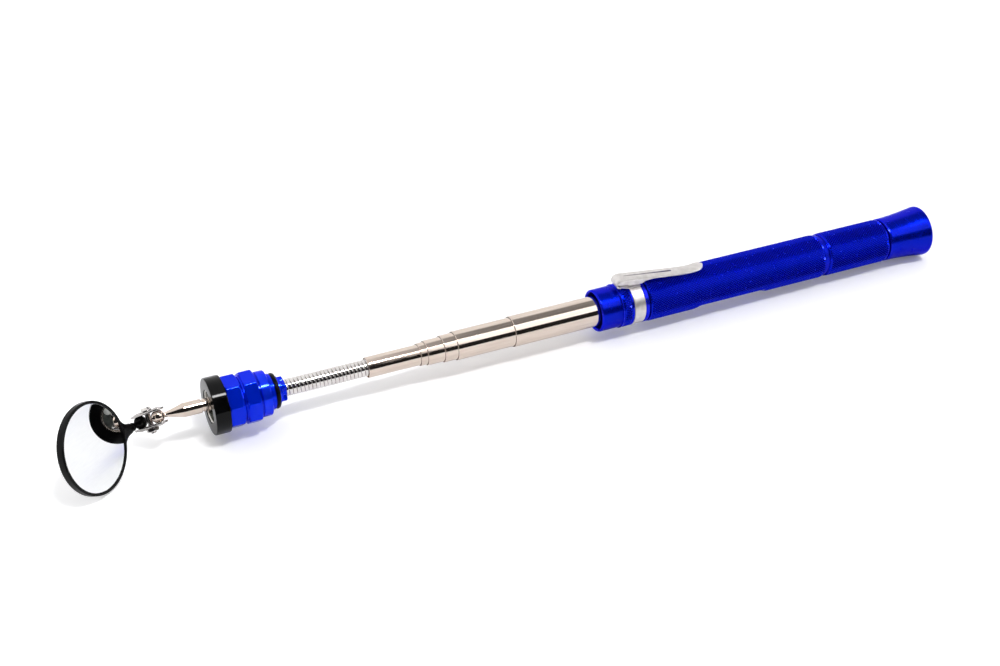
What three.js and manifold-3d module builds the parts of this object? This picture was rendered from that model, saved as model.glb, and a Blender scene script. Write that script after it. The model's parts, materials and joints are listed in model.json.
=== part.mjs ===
// Telescoping inspection mirror. A round mirror on a double ball joint plugs, by its magnetic stem, into a lamp
// head. The head sits on a bendable neck, at the end of six nested tubes that slide out of a pocket handle.
//
// Frame: millimetres. The tool lies along X with its head towards -X and its tail towards +X, and +Z is up. The
// origin is the centre of the handle's tail face. Stations below are counted from the handle's mouth, and the
// whole tool is moved to its origin at the end.
import * as THREE from 'three';
import { mergeVertices } from 'three/addons/utils/BufferGeometryUtils.js';
import Module from 'manifold-3d';

const wasm = await Module();
wasm.setup();

// ---- Driving dimensions ----

const SIDES = 20;
const FINE_SIDES = 24;
const RUNNING_GAP = 0.1;
const SEAT_GAP = 0.03;

// Handle.
const HANDLE = { length: 147.2, capStart: 128, bore: 6.9 };
const HANDLE_RADIUS = { collar: 8.05, band: 8.35, grip: 8.5 };
const COLLAR_END = 8.5;
const CLIP_GROOVE = { start: 13.3, end: 18.1, radius: 7.6 };
const GRIP_START = 20.3;
const REAR_GROOVE = 99;
const FLAT = { start: 40, end: 73, depth: 1.0, slope: 2.5, turn: 240 };
const TAIL_CAP = { spigot: 8, flareRadius: 9.9, rimRadius: 9.4, magnetRadius: 6, magnetLength: 3.2 };
const MOUTH_BUSH = { start: 8, length: 5 };

// Clip, turned about the tool's axis away from straight up.
const CLIP = { turn: 6, width: 5.3, sheet: 0.7, noseX: 7.4, noseHeight: 13.3, tipX: 45.6, earTop: 10.4 };

// Tubes, from the thinnest to the widest: where each one's front end stands when the tool is as shown.
const TUBE_FRONTS = [-90.6, -70.8, -68.2, -61.8, -56.8, -34.2];
const TUBE_LENGTH = 75;
const FIRST_TUBE_RADIUS = 3.8;
const TUBE_STEP = 0.4;
const TUBE_WALL = 0.3;
const GUIDE_RING = { length: 3.4, fromRear: 4.95, seatDepth: 0.13 };

// Bendable neck.
const NECK = { start: -90.6, length: 30, radius: 3.075, segments: 6, core: 1.2 };

// Lamp head: stations along X, from its front face to the back of its end cap.
const HEAD = { front: -148.3, bezelEnd: -142.9, joint: -137.0, octagonEnd: -131.6, bodyEnd: -127.6 };
const HEAD_BODY = { thread: 7.3, collar: 8.2, waist: 7.8, step: 8.1, neck: 6.45, tip: 5.0 };
const END_CAP = { front: -123.35, back: -121.0, radius: 4.4, bore: 2.25 };
const BEZEL = { radius: 10.2, opening: 5.9, lip: 1.2, seat: 7.9 };
const OCTAGON = { acrossFlats: 17.76, chamferRadius: 9.25, turn: 26.7 };
const CELL = { radius: 5.8, length: 5.4, count: 3, front: -142.8 };
const LED = { radius: 1.5, pitch: 3.85, turn: 54.8 };
const MAGNET = { radius: 2.3, face: -146.9, length: 2.7 };
const O_RING = { centre: -124.8, radius: 5.5, section: 1.0 };

// Mirror stem, ball joint and mirror. The stem stands a little off the head's centre on its magnet.
const STEM = { ballX: -165.7, offY: 0.6, offZ: 0.85, radius: 2.5, ballRadius: 2.35, footLength: 18.65 };
const LINK = { roll: 36, tilt: 6, swing: -54, length: 8.9, plateGap: 4.0, sheet: 0.8, width: 5.6 };
const MIRROR_TURN = { swing: 94, tilt: 6, roll: -101 };
const MIRROR = { radius: 15.85, opening: 14.6, thickness: 3.0, reach: 25.4, rise: 0.8, lip: 0.4, glass: 1.0 };
const WEB = { halfWidth: 1.8, sheet: 1.7, below: 1.95 };

// ---- Finishes ----

const BLUE = { color: 0x0818c8, metalness: 0.85, roughness: 0.3 };
const STEEL = { color: 0xcfc6b8, metalness: 1.0, roughness: 0.22 };
const CHROME = { color: 0xd9dadc, metalness: 1.0, roughness: 0.1 };
const BLACK = { color: 0x0b0b0c, metalness: 0.2, roughness: 0.2 };
const RUBBER = { color: 0x101010, metalness: 0.0, roughness: 0.8 };
const BRASS = { color: 0xb08d4a, metalness: 1.0, roughness: 0.35 };
const LENS = { color: 0xf4f4ea, metalness: 0.0, roughness: 0.08 };
const BOARD = { color: 0xe8e8e0, metalness: 0.0, roughness: 0.6 };
const SILVERED = { color: 0xf2f4f6, metalness: 1.0, roughness: 0.02 };

// ---- Shape helpers ----

const radians = THREE.MathUtils.degToRad;

/** Turns a closed three.js geometry into a solid that can be cut and joined. */
function solid(geometry) {
  const bare = new THREE.BufferGeometry();
  bare.setAttribute('position', geometry.getAttribute('position'));
  bare.setIndex(geometry.getIndex());
  const merged = mergeVertices(bare);
  const corners = merged.getIndex().array;
  const triangles = [];
  for (let i = 0; i < corners.length; i += 3) {
    const [a, b, c] = [corners[i], corners[i + 1], corners[i + 2]];
    if (a !== b && b !== c && c !== a) {
      triangles.push(a, b, c);
    }
  }
  return new wasm.Manifold(new wasm.Mesh({
    numProp: 3,
    vertProperties: Float32Array.from(merged.getAttribute('position').array),
    triVerts: Uint32Array.from(triangles),
  }));
}

/** A turned solid about the X axis. The path holds [x, radius] points, with the material on its right. */
function revolve(path, sides = SIDES) {
  const points = path.map(([x, radius]) => new THREE.Vector2(radius, x));
  if (path[0][1] > 0) {
    points.push(points[0].clone());
  }
  return solid(new THREE.LatheGeometry(points, sides).rotateZ(-Math.PI / 2));
}

/** A turned solid about the Z axis, for the mirror and the joint's own parts. */
function revolveUpright(path, sides = SIDES) {
  const points = path.map(([z, radius]) => new THREE.Vector2(radius, z));
  if (path[0][1] > 0) {
    points.push(points[0].clone());
  }
  return solid(new THREE.LatheGeometry(points, sides).rotateX(Math.PI / 2));
}

/** A plain round tube or, with no bore, a plain round bar from x0 to x1. */
function bar(x0, x1, radius, bore = 0, sides = SIDES) {
  if (bore > 0) {
    return revolve([[x0, radius], [x1, radius], [x1, bore], [x0, bore]], sides);
  }
  return revolve([[x0, 0], [x0, radius], [x1, radius], [x1, 0]], sides);
}

function box(x0, x1, y0, y1, z0, z1) {
  const geometry = new THREE.BoxGeometry(x1 - x0, y1 - y0, z1 - z0);
  return solid(geometry.translate((x0 + x1) / 2, (y0 + y1) / 2, (z0 + z1) / 2));
}

/** A regular prism along X. Its first corner stands at the angle "turn", from +Y towards +Z. */
function prism(x0, x1, acrossFlats, corners, turn) {
  const radius = acrossFlats / 2 / Math.cos(Math.PI / corners);
  const shape = new THREE.Shape();
  for (let i = 0; i < corners; i += 1) {
    const angle = radians(turn) + (2 * Math.PI * i) / corners;
    const point = [radius * Math.cos(angle), radius * Math.sin(angle)];
    if (i === 0) {
      shape.moveTo(...point);
    } else {
      shape.lineTo(...point);
    }
  }
  shape.closePath();
  return solid(sheetOf(shape, x1 - x0).rotateX(Math.PI / 2).rotateZ(Math.PI / 2).translate(x0, 0, 0));
}

/** A flat sheet of the given outline, from Z = 0 upwards. */
function sheetOf(shape, depth, curveSegments = 1) {
  return new THREE.ExtrudeGeometry(shape, { depth, bevelEnabled: false, curveSegments });
}

/** Makes the named mesh of one piece. */
function piece(name, body, finish) {
  const { vertProperties, triVerts } = body.getMesh();
  const geometry = new THREE.BufferGeometry();
  geometry.setAttribute('position', new THREE.BufferAttribute(vertProperties, 3));
  geometry.setIndex(new THREE.BufferAttribute(triVerts, 1));
  const mesh = new THREE.Mesh(geometry, new THREE.MeshStandardMaterial(finish));
  mesh.name = name;
  return mesh;
}

function group(...parts) {
  const result = new THREE.Group();
  result.add(...parts);
  return result;
}

// ---- Handle ----

/** The flat milled along the underside of the grip, with sloping ends. */
function underFlat() {
  const floor = HANDLE_RADIUS.grip - FLAT.depth;
  const top = HANDLE_RADIUS.grip + 2;
  const slope = FLAT.slope * (top - floor) / FLAT.depth;
  const shape = new THREE.Shape();
  shape.moveTo(FLAT.start + FLAT.slope, floor);
  shape.lineTo(FLAT.end - FLAT.slope, floor);
  shape.lineTo(FLAT.end - FLAT.slope + slope, top);
  shape.lineTo(FLAT.start + FLAT.slope - slope, top);
  shape.closePath();
  const width = 4 * HANDLE_RADIUS.grip;
  const geometry = sheetOf(shape, width).translate(0, 0, -width / 2);
  return solid(geometry.rotateX(radians(FLAT.turn)));
}

function barrel() {
  const { collar, band, grip } = HANDLE_RADIUS;
  const { bore } = HANDLE;
  const end = HANDLE.capStart - 0.4;
  const groove = CLIP_GROOVE;
  const body = revolve([
    [0, collar - 0.45], [0.45, collar], [COLLAR_END - 0.1, collar], [COLLAR_END + 0.1, band],
    [groove.start - 0.1, band], [groove.start, groove.radius],
    [groove.end, groove.radius], [groove.end + 0.1, band],
    [GRIP_START - 0.5, band], [GRIP_START, grip],
    [REAR_GROOVE - 0.7, grip], [REAR_GROOVE, grip - 0.5], [REAR_GROOVE + 0.4, grip],
    [end - 0.3, grip], [end, grip - 0.3], [end, bore], [0.5, bore], [0, bore + 0.5],
  ]);
  return piece('barrel', body.subtract(underFlat()), BLUE);
}

function mouthBush() {
  const last = TUBE_FRONTS.length - 1;
  const bore = FIRST_TUBE_RADIUS + last * TUBE_STEP + RUNNING_GAP;
  const { start, length } = MOUTH_BUSH;
  return piece('mouth_bush', bar(start, start + length, HANDLE.bore - SEAT_GAP, bore), BRASS);
}

/** The cap's outline: a short straight, a concave flare as an arc of a sine, then a rounded rim. */
function tailCap() {
  const { length, capStart, bore } = HANDLE;
  const { grip } = HANDLE_RADIUS;
  const { spigot, flareRadius, rimRadius, magnetRadius, magnetLength } = TAIL_CAP;
  const flareEnd = length - 1.2;
  const pocket = magnetRadius + RUNNING_GAP;
  const pocketEnd = length - magnetLength - 0.3;
  const steps = 6;
  const path = [[capStart - spigot, 0], [capStart - spigot, bore - SEAT_GAP]];
  path.push([capStart - 0.3, bore - SEAT_GAP], [capStart - 0.3, grip - 0.5]);
  path.push([capStart, grip - 0.5], [capStart + 0.3, grip]);
  for (let i = 1; i <= steps; i += 1) {
    const t = i / steps;
    const swell = (flareRadius - grip) * (1 - Math.cos((t * Math.PI) / 2));
    path.push([capStart + 1 + t * (flareEnd - capStart - 1), grip + swell]);
  }
  path.push([length - 0.5, flareRadius - 0.12], [length, rimRadius]);
  path.push([length, pocket], [pocketEnd, pocket], [pocketEnd, 0]);
  return piece('tail_cap', revolve(path), BLUE);
}

/** The magnet that holds the tool on a steel surface. Its end is flush with the cap's rim. */
function tailMagnet() {
  const { magnetRadius, magnetLength } = TAIL_CAP;
  return piece('tail_magnet', bar(HANDLE.length - magnetLength, HANDLE.length, magnetRadius), CHROME);
}

// ---- Clip ----

function clipBand() {
  const { start, end, radius } = CLIP_GROOVE;
  const inner = radius + RUNNING_GAP;
  const ring = bar(start + 0.2, end - 0.1, inner + 0.6, inner);
  const ear = (side) => {
    const y = side * (CLIP.width / 2 - 1.3);
    return box(start + 0.2, end - 0.1, y - 0.35, y + 0.35, inner - 0.3, CLIP.earTop)
      .subtract(bar(0, GRIP_START + 10, inner));
  };
  return piece('clip_band', ring.add(ear(1)).add(ear(-1)), CHROME);
}

/** The arm's side outline: a folded nose, a long top, and a tip that touches the grip and then curls up. */
function clipArm() {
  const { noseX, noseHeight: top, tipX, sheet, width } = CLIP;
  const rest = HANDLE_RADIUS.grip + 0.15;
  const shape = new THREE.Shape();
  shape.moveTo(noseX + 0.6, top - 3.2);
  shape.quadraticCurveTo(noseX - 0.5, top - 2, noseX, top - 0.8);
  shape.quadraticCurveTo(noseX + 0.6, top, noseX + 2.2, top);
  shape.lineTo(tipX - 12, rest + sheet + 0.9);
  shape.quadraticCurveTo(tipX - 6, rest + sheet, tipX - 3.5, rest + sheet);
  shape.lineTo(tipX, rest + sheet + 0.9);
  shape.lineTo(tipX + 0.2, rest + 0.9);
  shape.lineTo(tipX - 3.3, rest);
  shape.quadraticCurveTo(tipX - 6, rest, tipX - 12, rest + 0.9);
  shape.lineTo(noseX + 2.6, top - sheet);
  shape.quadraticCurveTo(noseX + 1, top - sheet, noseX + 0.8, top - 1.6);
  shape.lineTo(noseX + 1.4, top - 3.2);
  shape.closePath();
  const arm = solid(sheetOf(shape, width, 4).rotateX(Math.PI / 2).translate(0, width / 2, 0));
  const flangeBase = HANDLE_RADIUS.grip + 1.2;
  const flange = (side) => {
    const y = side * (width / 2 - 0.35);
    return box(noseX + 2.1, CLIP_GROOVE.end - 0.4, y - 0.35, y + 0.35, flangeBase, top - 1.5);
  };
  return piece('clip_arm', arm.add(flange(1)).add(flange(-1)), CHROME);
}

function clip() {
  const result = group(clipBand(), clipArm());
  result.rotation.x = radians(CLIP.turn);
  return result;
}

// ---- Telescoping tubes ----

function tube(index) {
  const radius = FIRST_TUBE_RADIUS + index * TUBE_STEP;
  const bore = radius - TUBE_WALL;
  const lip = index > 0 ? radius - TUBE_STEP + 0.04 : bore;
  const seat = TUBE_LENGTH - GUIDE_RING.fromRear;
  const seatEnd = seat + GUIDE_RING.length + 0.05;
  const seatRadius = radius - GUIDE_RING.seatDepth;
  const body = revolve([
    [0, radius - 0.2], [0.2, radius], [seat - 0.05, radius], [seat - 0.05, seatRadius],
    [seatEnd, seatRadius], [seatEnd, radius], [TUBE_LENGTH, radius], [TUBE_LENGTH, bore],
    [1.2, bore], [1.2, lip], [0, lip],
  ]);
  const mesh = piece(`tube_${index + 1}`, body, STEEL);
  mesh.position.x = TUBE_FRONTS[index];
  return mesh;
}

/** The ring on a tube's rear end. It runs in the next tube's bore, and stops the tube from pulling out. */
function guideRing(index) {
  const radius = FIRST_TUBE_RADIUS + index * TUBE_STEP;
  const isWidest = index === TUBE_FRONTS.length - 1;
  const housing = isWidest ? HANDLE.bore : radius + TUBE_STEP - TUBE_WALL;
  const inner = radius - GUIDE_RING.seatDepth + SEAT_GAP;
  const ring = bar(0, GUIDE_RING.length, housing - SEAT_GAP, inner);
  const mesh = piece(`guide_ring_${index + 1}`, ring, BRASS);
  mesh.position.x = TUBE_FRONTS[index] + TUBE_LENGTH - GUIDE_RING.fromRear;
  return mesh;
}

// ---- Bendable neck ----

/** One length of the coiled neck. Its ends are bevelled, so that neighbours can lean without touching. */
function neckSegment(index) {
  const pitch = NECK.length / NECK.segments;
  const half = pitch / 2;
  const lean = NECK.radius * Math.tan(radians(90 / (NECK.segments + 1) / 2)) + 0.06;
  const body = revolve([
    [-half + 0.08, 0], [-half + 0.08, 0.4], [-half + lean, NECK.radius],
    [half - lean, NECK.radius], [half - 0.08, 0.4], [half - 0.08, 0],
  ], 16);
  const mesh = piece(`neck_segment_${index + 1}`, body, CHROME);
  mesh.position.x = NECK.start - pitch * (index + 0.5);
  return mesh;
}

/** The collar that holds the neck in the thinnest tube, and turns in it. */
function neckRearFerrule() {
  const radius = FIRST_TUBE_RADIUS - TUBE_WALL - RUNNING_GAP;
  return piece('neck_rear_ferrule', bar(NECK.start + 0.5, NECK.start + 7, radius, NECK.core), STEEL);
}

/** The pin that holds the neck in the lamp head's end cap. */
function neckFrontFerrule() {
  const { front, back, bore } = END_CAP;
  return piece('neck_front_ferrule', bar(front + 0.2, back - 0.2, bore - RUNNING_GAP, NECK.core), STEEL);
}

// ---- Lamp head ----

/** An octagonal section whose corners are turned off at both ends, as on a nut. */
function octagonSection(x0, x1) {
  const corner = OCTAGON.acrossFlats / 2 / Math.cos(Math.PI / 8);
  const turned = revolve([
    [x0, 0], [x0, OCTAGON.chamferRadius - 0.55], [x0 + 0.9, corner + 0.05],
    [x1 - 0.9, corner + 0.05], [x1, OCTAGON.chamferRadius - 0.55], [x1, 0],
  ], FINE_SIDES);
  return prism(x0, x1, OCTAGON.acrossFlats, 8, OCTAGON.turn).intersect(turned);
}

function headBezel() {
  const { front, bezelEnd } = HEAD;
  const { radius, opening, lip, seat } = BEZEL;
  return piece('head_bezel', revolve([
    [front, opening], [front, radius - 0.5], [front + 0.5, radius], [bezelEnd - 0.2, radius],
    [bezelEnd, radius - 0.2], [bezelEnd, seat], [front + lip, seat], [front + lip, opening],
  ], FINE_SIDES), BLACK);
}

/** The bright ring that lines the opening, in front of the lamp board. */
function lampRing() {
  const x0 = HEAD.front + 0.25;
  const x1 = HEAD.front + BEZEL.lip + 1.4;
  const radius = BEZEL.opening - 0.05;
  return piece('lamp_ring', revolve([
    [x0, radius - 0.3], [x0, radius], [x1, radius], [x1, radius - 0.45], [x0 + 0.5, radius - 0.45],
  ]), BRASS);
}

function ledCentre(index) {
  const angle = radians(LED.turn + 180 + 120 * index);
  return [LED.pitch * Math.cos(angle), LED.pitch * Math.sin(angle)];
}

function lampBoard() {
  const x0 = HEAD.front + BEZEL.lip + 1.5;
  let board = bar(x0, x0 + 1, BEZEL.seat - 0.5, MAGNET.radius + 0.05);
  for (let i = 0; i < 3; i += 1) {
    const [y, z] = ledCentre(i);
    board = board.subtract(bar(x0 - 1, x0 + 2, 0.6, 0, 8).translate([0, y, z]));
  }
  return piece('lamp_board', board, BOARD);
}

/** A small lamp: a domed lens on a straight skirt, with one stub for its leads in the board. */
function led(index) {
  const x0 = HEAD.front + BEZEL.lip + 1.4;
  const dome = x0 - 0.8;
  const body = revolve([
    [dome - 0.45, 0], [dome - 0.3, 0.75], [dome, 1.2], [dome + 0.3, LED.radius - 0.1],
    [x0, LED.radius - 0.1], [x0, 0.5], [x0 + 0.9, 0.5], [x0 + 0.9, 0],
  ], 16);
  const mesh = piece(`led_${index + 1}`, body, LENS);
  const [y, z] = ledCentre(index);
  mesh.position.set(0, y, z);
  return mesh;
}

function centreMagnet() {
  const { face, length, radius } = MAGNET;
  return piece('centre_magnet', bar(face, face + length, radius), CHROME);
}

/** The front half of the lamp body. It screws over the battery tube, and turns to switch the lamp. */
function lampHousing() {
  const x0 = HEAD.bezelEnd + 0.2;
  const x1 = HEAD.joint - 0.1;
  const spigot = bar(HEAD.bezelEnd - 1.6, x0 + 0.5, BEZEL.seat - RUNNING_GAP);
  const collar = bar(x1 - 0.8, x1, HEAD_BODY.collar);
  const bore = bar(x0 - 3, x1 + 1, HEAD_BODY.thread);
  const body = octagonSection(x0, x1 - 0.6).add(collar).add(spigot).subtract(bore);
  return piece('lamp_housing', body, BLUE);
}

/** The coiled contact between the lamp board and the first cell, as one closed turn of wire. */
function contactSpring() {
  const x = CELL.front - 0.7;
  return piece('contact_spring', revolve(roundSection(x, 3.6, 0.45), 16), BRASS);
}

/** The cross-section of a ring of round stock, as an eight-sided path about its own centre. */
function roundSection(x, ringRadius, section) {
  const path = [];
  for (let i = 0; i < 8; i += 1) {
    const angle = (Math.PI * (i + 0.5)) / 4;
    path.push([x - section * Math.cos(angle), ringRadius + section * Math.sin(angle)]);
  }
  return path;
}

function buttonCell(index) {
  const x0 = CELL.front + index * (CELL.length + 0.04);
  const { radius, length } = CELL;
  const body = revolve([
    [x0, 0], [x0, radius - 1.2], [x0 + 0.3, radius - 1.1], [x0 + 0.5, radius - 0.3],
    [x0 + 0.9, radius], [x0 + length - 0.3, radius], [x0 + length, radius - 0.3], [x0 + length, 0],
  ]);
  return piece(`button_cell_${index + 1}`, body, CHROME);
}

/** The rear half of the lamp body: the battery tube, an octagon, two steps down and the seal's groove. */
function batteryHousing() {
  const { joint, octagonEnd, bodyEnd } = HEAD;
  const cellBore = CELL.radius + 0.15;
  const cellEnd = CELL.front + CELL.count * (CELL.length + 0.04) + 0.1;
  const grooveStart = O_RING.centre - O_RING.section - 0.1;
  const grooveEnd = O_RING.centre + O_RING.section + 0.1;
  const grooveRadius = O_RING.radius - O_RING.section - 0.1;
  const end = END_CAP.front - 0.05;
  const { thread, collar, waist, step, neck, tip } = HEAD_BODY;
  const tail = revolve([
    [joint + 0.1, 0], [joint + 0.1, collar], [joint + 1.0, collar], [octagonEnd, collar - 0.2],
    [octagonEnd + 1.1, waist], [octagonEnd + 1.2, step], [bodyEnd - 0.3, step], [bodyEnd, waist],
    [bodyEnd, neck], [grooveStart, neck], [grooveStart, grooveRadius], [grooveEnd, grooveRadius],
    [grooveEnd, tip], [end, tip], [end, 0],
  ]);
  const spigot = bar(CELL.front + 0.3, joint + 0.5, thread - RUNNING_GAP);
  const body = octagonSection(joint + 0.9, octagonEnd).add(tail).add(spigot);
  return piece('battery_housing', body.subtract(bar(CELL.front - 1, cellEnd, cellBore)), BLUE);
}

function headORing() {
  return piece('head_o_ring', revolve(roundSection(O_RING.centre, O_RING.radius, O_RING.section)), RUBBER);
}

/** The small notched cap that clamps the neck to the lamp body. */
function headEndCap() {
  const { front, back, radius, bore } = END_CAP;
  let body = revolve([
    [front, bore], [front, radius], [back - 0.3, radius], [back, radius - 0.3], [back, bore],
  ]);
  for (let i = 0; i < 4; i += 1) {
    const notch = box(back - 1, back + 1, -0.6, 0.6, radius - 0.9, radius + 1);
    body = body.subtract(notch.rotate([45 + 90 * i, 0, 0]));
  }
  return piece('head_end_cap', body, BLUE);
}

// ---- Mirror stem, joint and mirror: each is modelled about its own ball's centre ----

/** The round outline of a ball from its pole to where a neck of the given radius leaves it. */
function ballOutline(ballRadius, neckRadius, steps = 6) {
  const last = Math.PI - Math.asin(neckRadius / ballRadius);
  const path = [];
  for (let i = 0; i <= steps; i += 1) {
    const angle = (last * i) / steps;
    path.push([-ballRadius * Math.cos(angle), ballRadius * Math.sin(angle)]);
  }
  path[0][1] = 0;
  return path;
}

/** The stem, with its ball at the origin and its foot towards +X. */
function mirrorStem() {
  const { radius, ballRadius, footLength } = STEM;
  const foot = footLength - 1.1;
  const path = ballOutline(ballRadius, 0.9);
  path.push([2.4, 0.9], [8.8, radius - 0.1], [9.1, radius]);
  path.push([foot - 2.6, radius], [foot - 2.6, radius - 0.5], [foot - 1.9, radius - 0.5]);
  path.push([foot - 1.9, radius - 0.2], [foot, radius - 0.2], [foot, 1.1], [foot - 2, 1.1], [foot - 2, 0]);
  return piece('mirror_stem', revolve(path), STEEL);
}

/** The steel disc that the head's magnet holds. Its pin is the axle that the stem turns on. */
function stemFoot() {
  const { footLength, radius } = STEM;
  const disc = footLength - 1.0;
  const body = revolve([
    [disc - 1.9, 0], [disc - 1.9, 1.0], [disc, 1.0], [disc, radius - 0.2],
    [footLength, radius - 0.2], [footLength, 0],
  ]);
  return piece('stem_foot', body, STEEL);
}

/** A joint plate with round ends, a domed seat over each ball and a hole for the screw. */
function jointPlate(name, side) {
  const { length, plateGap, sheet, width } = LINK;
  const half = width / 2;
  const shape = new THREE.Shape();
  shape.moveTo(0, -half);
  shape.lineTo(length, -half);
  shape.absarc(length, 0, half, -Math.PI / 2, Math.PI / 2, false);
  shape.lineTo(0, half);
  shape.absarc(0, 0, half, Math.PI / 2, (3 * Math.PI) / 2, false);
  let plate = solid(sheetOf(shape, sheet, 8).translate(0, 0, plateGap / 2));
  const outer = new THREE.SphereGeometry(STEM.ballRadius + 0.95, 16, 8);
  const above = box(-10, length + 10, -10, 10, plateGap / 2 + 0.1, plateGap);
  const dome = solid(outer.rotateX(Math.PI / 2)).intersect(above);
  const seat = solid(new THREE.SphereGeometry(STEM.ballRadius + 0.15, 16, 8).rotateX(Math.PI / 2));
  for (const x of [0, length]) {
    plate = plate.add(dome.translate([x, 0, 0])).subtract(seat.translate([x, 0, 0]));
  }
  const hole = revolveUpright([[0, 0], [0, 1.1], [plateGap, 1.1], [plateGap, 0]], 16);
  plate = plate.subtract(hole.translate([length / 2, 0, 0]));
  return piece(name, side > 0 ? plate : plate.rotate([180, 0, 0]), CHROME);
}

function jointScrew() {
  const { plateGap, sheet } = LINK;
  const seat = plateGap / 2 + sheet + 0.04;
  const shank = revolveUpright([
    [-seat - 2.2, 0], [-seat - 2.2, 0.8], [-seat - 2.0, 1.0], [seat, 1.0], [seat, 2.0],
    [seat + 0.9, 2.0], [seat + 1.5, 1.4], [seat + 1.5, 0],
  ], 16);
  const slot = box(-1.2, 1.2, -0.25, 0.25, seat + 0.7, seat + 3);
  const body = shank.subtract(slot).subtract(slot.rotate([0, 0, 90]));
  return piece('joint_screw', body.translate([LINK.length / 2, 0, 0]), CHROME);
}

function jointNut() {
  const { plateGap, sheet, length } = LINK;
  const top = -plateGap / 2 - sheet - 0.04;
  const blank = prism(top - 1.6, top, 4, 6, 0).subtract(bar(top - 3, top + 1, 1.08, 0, 16));
  return piece('joint_nut', blank.rotate([0, -90, 0]).translate([length / 2, 0, 0]), CHROME);
}

/** The black ball and its shank, which the mirror's frame turns on. The frame lies towards +X. */
function ballStud() {
  const path = ballOutline(STEM.ballRadius, 1.0);
  path.push([4.2, 1.0], [4.2, 1.5], [4.8, 1.5], [4.8, 0.85], [9.0, 0.85], [9.0, 0]);
  return piece('ball_stud', revolve(path), BLACK);
}

/** The frame: a cup with an inturned lip, and a web that narrows into the socket for the ball stud. */
function mirrorFrame() {
  const { radius, opening, thickness, reach, rise, lip, glass } = MIRROR;
  const pocket = radius - 0.55;
  const floor = -lip - glass - 0.2;
  const cup = revolveUpright([
    [-thickness, 0], [-thickness, radius - 0.3], [-thickness + 0.3, radius], [-0.3, radius],
    [0, radius - 0.3], [0, opening], [-lip, opening], [-lip, pocket], [floor, pocket], [floor, 0],
  ], 36).translate([reach, 0, rise]);
  const root = reach - radius + 1.2;
  const shape = new THREE.Shape();
  shape.moveTo(root + 0.6, 6.2);
  shape.quadraticCurveTo(root - 1.4, WEB.halfWidth + 0.6, root - 4.6, WEB.halfWidth);
  shape.lineTo(5.0, WEB.halfWidth);
  shape.lineTo(5.0, -WEB.halfWidth);
  shape.lineTo(root - 4.6, -WEB.halfWidth);
  shape.quadraticCurveTo(root - 1.4, -WEB.halfWidth - 0.6, root + 0.6, -6.2);
  shape.closePath();
  const web = solid(sheetOf(shape, WEB.sheet, 6).translate(0, 0, rise - WEB.below));
  const hollow = revolveUpright([[-9, 0], [-9, pocket], [9, pocket], [9, 0]], 36)
    .translate([reach, 0, rise]);
  const socket = bar(5.0, 10.6, 1.5);
  const bore = bar(4.0, 9.2, 0.95);
  const body = cup.add(web.add(socket).subtract(hollow)).subtract(bore);
  return piece('mirror_frame', body, BLACK);
}

function mirrorGlass() {
  const { radius, reach, rise, lip, glass } = MIRROR;
  const top = -lip - RUNNING_GAP;
  const edge = radius - 0.7;
  const body = revolveUpright([[top - glass, 0], [top - glass, edge], [top, edge], [top, 0]], 36);
  return piece('mirror_glass', body.translate([reach, 0, rise]), SILVERED);
}

/** Stem, link and mirror, each hung on the ball of the one before. */
function mirrorArm() {
  const mirror = group(ballStud(), mirrorFrame(), mirrorGlass());
  mirror.position.x = LINK.length;
  const { roll, tilt, swing } = MIRROR_TURN;
  mirror.rotation.set(radians(roll), radians(tilt), radians(swing), 'ZYX');
  const upper = jointPlate('joint_plate_upper', 1);
  const lower = jointPlate('joint_plate_lower', -1);
  const link = group(upper, lower, jointScrew(), jointNut(), mirror);
  link.rotation.set(radians(LINK.roll), radians(LINK.tilt), radians(LINK.swing), 'XYZ');
  const facingOut = group(link);
  facingOut.rotation.z = Math.PI;
  const arm = group(mirrorStem(), stemFoot(), facingOut);
  arm.position.set(STEM.ballX, STEM.offY, STEM.offZ);
  return arm;
}

// ---- Assembly ----

const tool = new THREE.Group();
tool.add(barrel(), mouthBush(), tailCap(), tailMagnet(), clip());
TUBE_FRONTS.forEach((front, index) => tool.add(tube(index), guideRing(index)));
tool.add(neckRearFerrule(), neckFrontFerrule());
for (let i = 0; i < NECK.segments; i += 1) {
  tool.add(neckSegment(i));
}
tool.add(headBezel(), lampRing(), lampBoard(), centreMagnet(), lampHousing(), contactSpring());
tool.add(batteryHousing(), headORing(), headEndCap());
for (let i = 0; i < 3; i += 1) {
  tool.add(led(i), buttonCell(i));
}
tool.add(mirrorArm());
tool.position.x = -HANDLE.length;

export default tool;
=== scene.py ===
"""Looks for the telescoping inspection mirror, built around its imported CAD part.

Lengths are in millimetres until a mesh is made. Places come from the CAD nodes' boxes and from the joints.
The tool lies along X, with its head towards -X. A turned piece is a list of (x, radius) points about the
x axis of its own frame, with the material between the outline and that axis or inside the closed outline.
"""

import json
import math

import bmesh
import bpy
import numpy as np
from mathutils import Matrix, Vector

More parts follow.
